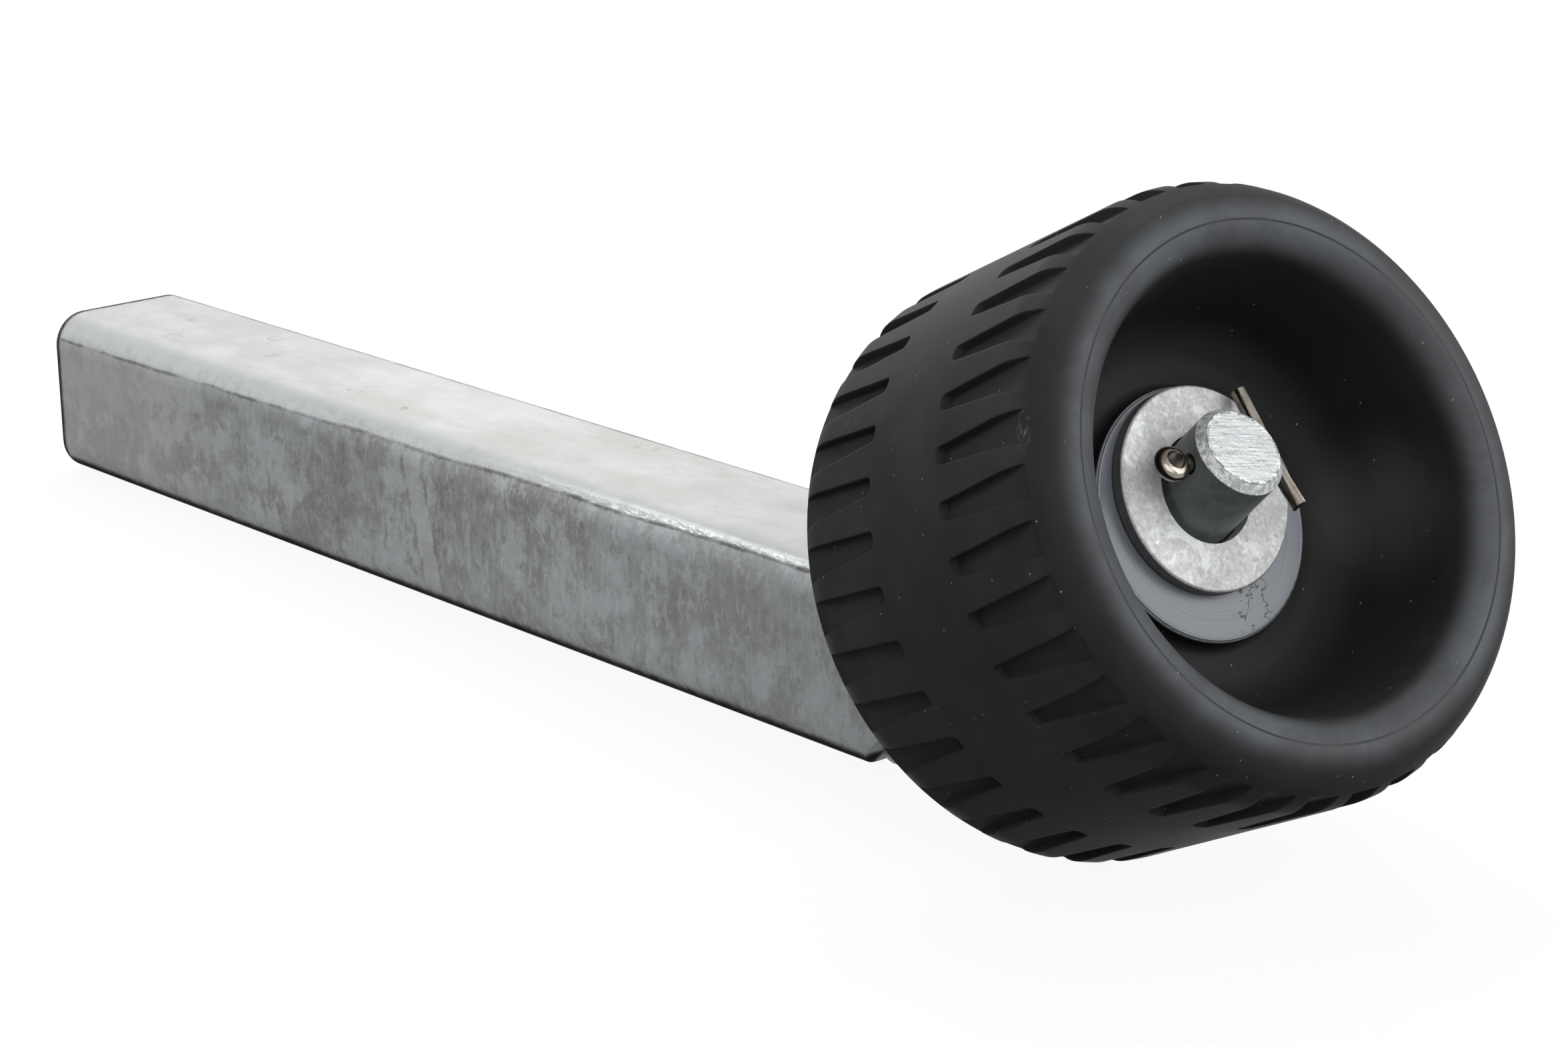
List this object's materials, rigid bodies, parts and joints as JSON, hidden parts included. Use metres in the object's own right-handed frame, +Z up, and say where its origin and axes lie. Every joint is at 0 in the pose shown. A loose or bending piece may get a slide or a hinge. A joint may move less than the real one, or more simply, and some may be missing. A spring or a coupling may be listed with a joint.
{
  "type": "boat trailer wobble roller",
  "caption": "Black rubber wobble roller with dished ends and wedge recesses, on a 45 degree spindle welded to a galvanised square stem.",
  "frame": {"origin": "centre of the stem's free end, on the stem's axis", "axes": "+X along the stem towards the roller, +Z up in the plane of the spindle, +Y to the far side"},
  "size_m": [0.4146, 0.1164, 0.1282],
  "materials": {
    "galvanised": "hot-dip galvanised, dull",
    "bar_steel": "galvanised, saw-cut end",
    "pin_steel": "bright drawn wire",
    "rubber": "satin, moulded"
  },
  "bodies": {
    "base": {"stem_tube": "galvanised", "spindle": "bar_steel", "weld_top": "galvanised", "weld_bottom": "galvanised", "rear_washer": "galvanised", "split_pin": "pin_steel"},
    "wobble": {"front_washer": "galvanised"},
    "roller": {"roller": "rubber"}
  },
  "joints": [
    {"name": "wobble", "type": "hinge", "parent": "base", "child": "wobble", "pos_m": [0.36867, 0, 0.04822], "axis": [0.1167, 0.9863, -0.1167], "range_deg": [-18.9, 0]},
    {"name": "spin", "type": "hinge", "parent": "wobble", "child": "roller", "pos_m": [0.35828, 0.00062, 0.03861], "axis": [0.8949, -0.0535, 0.4431], "continuous": true}
  ]
}
